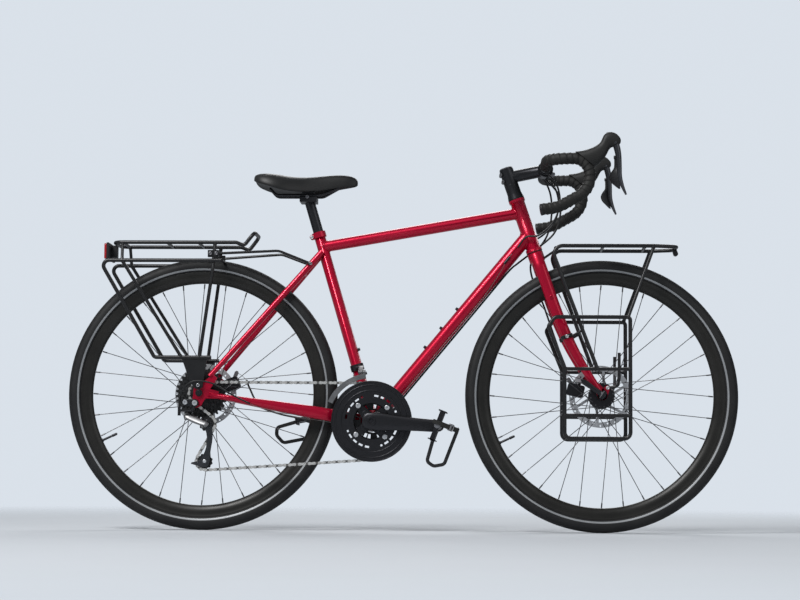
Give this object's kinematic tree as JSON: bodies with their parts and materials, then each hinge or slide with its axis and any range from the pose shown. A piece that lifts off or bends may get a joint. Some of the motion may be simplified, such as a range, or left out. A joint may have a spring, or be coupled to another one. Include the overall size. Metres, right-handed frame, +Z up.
{
  "type": "road bicycle",
  "caption": "Red steel touring road bicycle with drop handlebar, disc brakes, chainset, toe-clip pedals and a black luggage rack at each end.",
  "frame": {"origin": "on the ground midway between the two wheel contact points", "axes": "+X towards the front wheel, +Y to the rider's left, +Z up"},
  "size_m": [1.7188, 0.4212, 0.9928],
  "materials": {
    "frame_paint": "gloss",
    "rack_paint": "semi-matt",
    "tyre": "matt",
    "rim_alloy": "dark satin",
    "spoke_steel": "dark",
    "black_alloy": "black satin",
    "dark_steel": "dark",
    "bright_steel": "satin",
    "bar_tape": "matt",
    "lever": "satin",
    "black_plastic": "matt",
    "saddle_cover": "satin"
  },
  "bodies": {
    "frame": {"head_tube": "frame_paint", "top_tube": "frame_paint", "down_tube": "frame_paint", "seat_tube": "frame_paint", "chain_stays": "frame_paint", "seat_stays": "frame_paint", "rear_dropouts": "frame_paint", "seat_collar": "frame_paint", "bearing_cups": "bright_steel", "frame_bolts": "black_alloy", "front_derailleur_clamp": "dark_steel", "rear_rack": "rack_paint", "rear_axle": "bright_steel", "rear_caliper": "dark_steel", "chain": "bright_steel", "frame_cables": "black_plastic", "derailleur_knuckle": "dark_steel"},
    "steering": {"fork": "frame_paint", "headset_spacers": "black_alloy", "stem": "black_alloy", "handlebar": "black_alloy", "bar_tape": "bar_tape", "brake_hoods": "bar_tape", "front_rack": "rack_paint", "front_axle": "bright_steel", "front_caliper": "dark_steel", "front_brake_cable": "black_plastic"},
    "front_wheel": {"front_tyre": "tyre", "front_rim": "rim_alloy", "front_spokes": "spoke_steel", "front_hub": "black_alloy", "front_rotor": "bright_steel"},
    "rear_wheel": {"rear_tyre": "tyre", "rear_rim": "rim_alloy", "rear_spokes": "spoke_steel", "rear_hub": "black_alloy", "rear_rotor": "bright_steel"},
    "cassette": {"cassette": "dark_steel"},
    "crank": {"crank_arms": "black_alloy", "chainrings": "dark_steel", "chain_guard": "black_alloy"},
    "right_pedal": {"right_pedal": "black_plastic"},
    "left_pedal": {"left_pedal": "black_plastic"},
    "right_brake_lever": {"right_brake_lever": "lever"},
    "left_brake_lever": {"left_brake_lever": "lever"},
    "right_shift_paddle": {"right_shift_paddle": "black_plastic"},
    "left_shift_paddle": {"left_shift_paddle": "black_plastic"},
    "saddle_group": {"seatpost": "black_alloy", "saddle_rails": "bright_steel", "saddle": "saddle_cover"},
    "front_derailleur_link": {"front_derailleur_link": "bright_steel"},
    "front_derailleur_cage": {"front_derailleur_cage": "bright_steel"},
    "derailleur_link": {"derailleur_link": "bright_steel"},
    "cage_knuckle": {"cage_knuckle": "dark_steel"},
    "derailleur_cage": {"derailleur_cage": "dark_steel"},
    "guide_pulley": {"guide_pulley": "black_plastic"},
    "tension_pulley": {"tension_pulley": "black_plastic"},
    "front_axle_lever": {"front_axle_lever": "dark_steel"},
    "front_caliper_arm": {"front_caliper_arm": "dark_steel"},
    "rear_caliper_arm": {"rear_caliper_arm": "dark_steel"}
  },
  "joints": [
    {"name": "steering_turn", "type": "hinge", "parent": "frame", "child": "steering", "pos_m": [0.34055, 0, 0.71853], "axis": [-0.3256, 0, 0.9455], "range_deg": [-55, 55], "deforming": ["frame_cables"]},
    {"name": "front_wheel_spin", "type": "hinge", "parent": "steering", "child": "front_wheel", "pos_m": [0.5115, 0, 0.348], "axis": [0, 1, 0], "continuous": true},
    {"name": "rear_wheel_spin", "type": "hinge", "parent": "frame", "child": "rear_wheel", "pos_m": [-0.5115, 0, 0.348], "axis": [0, 1, 0], "continuous": true},
    {"name": "crank_spin", "type": "hinge", "parent": "frame", "child": "crank", "pos_m": [-0.07289, 0, 0.279], "axis": [0, 1, 0], "continuous": true},
    {"name": "cassette_spin", "type": "hinge", "parent": "frame", "child": "cassette", "pos_m": [-0.5115, 0, 0.348], "axis": [0, 1, 0], "continuous": true},
    {"name": "right_pedal_spin", "type": "hinge", "parent": "crank", "child": "right_pedal", "pos_m": [0.09669, 0, 0.26714], "axis": [0, 1, 0], "continuous": true},
    {"name": "left_pedal_spin", "type": "hinge", "parent": "crank", "child": "left_pedal", "pos_m": [-0.24248, 0, 0.29086], "axis": [0, 1, 0], "continuous": true},
    {"name": "right_brake_pull", "type": "hinge", "parent": "steering", "child": "right_brake_lever", "pos_m": [0.53521, -0.19, 0.97056], "axis": [0, 1, 0], "range_deg": [0, 20], "stiffness_Nm_per_rad": 1, "springref_deg": -17.19},
    {"name": "left_brake_pull", "type": "hinge", "parent": "steering", "child": "left_brake_lever", "pos_m": [0.53521, 0.19, 0.97056], "axis": [0, 1, 0], "range_deg": [0, 20], "stiffness_Nm_per_rad": 1, "springref_deg": -17.19},
    {"name": "right_shift_push", "type": "hinge", "parent": "right_brake_lever", "child": "right_shift_paddle", "pos_m": [0.53421, -0.19, 0.93456], "axis": [1, 0, 0], "range_deg": [0, 18], "stiffness_Nm_per_rad": 0.3, "springref_deg": -17.19},
    {"name": "left_shift_push", "type": "hinge", "parent": "left_brake_lever", "child": "left_shift_paddle", "pos_m": [0.53421, 0.19, 0.93456], "axis": [-1, 0, 0], "range_deg": [0, 18], "stiffness_Nm_per_rad": 0.3, "springref_deg": -17.19},
    {"name": "seatpost_slide", "type": "slide", "parent": "frame", "child": "saddle_group", "axis": [-0.284, 0, 0.9588], "range_m": [-0.05, 0.08]},
    {"name": "front_shift_swing", "type": "hinge", "parent": "frame", "child": "front_derailleur_link", "pos_m": [-0.10608, -0.024, 0.41603], "axis": [1, 0, 0], "range_deg": [0, 26], "stiffness_Nm_per_rad": 1, "deforming": ["chain", "frame_cables"]},
    {"name": "front_shift_level", "type": "hinge", "parent": "front_derailleur_link", "child": "front_derailleur_cage", "pos_m": [-0.10608, -0.044, 0.40403], "axis": [1, 0, 0], "range_deg": [-28, 2]},
    {"name": "rear_shift_swing", "type": "hinge", "parent": "frame", "child": "derailleur_link", "pos_m": [-0.5385, -0.068, 0.291], "axis": [0.4769, 0.4999, 0.7229], "range_deg": [-6, 26], "stiffness_Nm_per_rad": 2, "deforming": ["chain", "frame_cables"]},
    {"name": "rear_shift_level", "type": "hinge", "parent": "derailleur_link", "child": "cage_knuckle", "pos_m": [-0.4935, -0.082, 0.271], "axis": [0.4769, 0.4999, 0.7229], "range_deg": [-28, 8]},
    {"name": "cage_tension", "type": "hinge", "parent": "cage_knuckle", "child": "derailleur_cage", "pos_m": [-0.4935, 0, 0.271], "axis": [0, 1, 0], "range_deg": [-20, 25], "stiffness_Nm_per_rad": 2, "deforming": ["chain"]},
    {"name": "guide_pulley_spin", "type": "hinge", "parent": "derailleur_cage", "child": "guide_pulley", "pos_m": [-0.4935, 0, 0.271], "axis": [0, 1, 0], "continuous": true},
    {"name": "tension_pulley_spin", "type": "hinge", "parent": "derailleur_cage", "child": "tension_pulley", "pos_m": [-0.49685, 0, 0.17506], "axis": [0, 1, 0], "continuous": true},
    {"name": "front_axle_lever_swing", "type": "hinge", "parent": "steering", "child": "front_axle_lever", "pos_m": [0.5115, -0.07, 0.348], "axis": [0.5757, 0, 0.8176], "range_deg": [0, 170]},
    {"name": "front_caliper_pull", "type": "hinge", "parent": "steering", "child": "front_caliper_arm", "pos_m": [0.4475, 0, 0.364], "axis": [0, 1, 0], "range_deg": [0, 25], "stiffness_Nm_per_rad": 0.3, "springref_deg": -17.19, "deforming": ["front_brake_cable"]},
    {"name": "rear_caliper_pull", "type": "hinge", "parent": "frame", "child": "rear_caliper_arm", "pos_m": [-0.4455, 0, 0.375], "axis": [0, 1, 0], "range_deg": [0, 25], "stiffness_Nm_per_rad": 0.3, "springref_deg": -17.19, "deforming": ["frame_cables"]}
  ],
  "couplings": [
    {"joint": "cassette_spin", "follows": "crank_spin", "ratio": 3.4286},
    {"joint": "front_shift_level", "follows": "front_shift_swing", "ratio": -1},
    {"joint": "rear_shift_level", "follows": "rear_shift_swing", "ratio": -1}
  ]
}
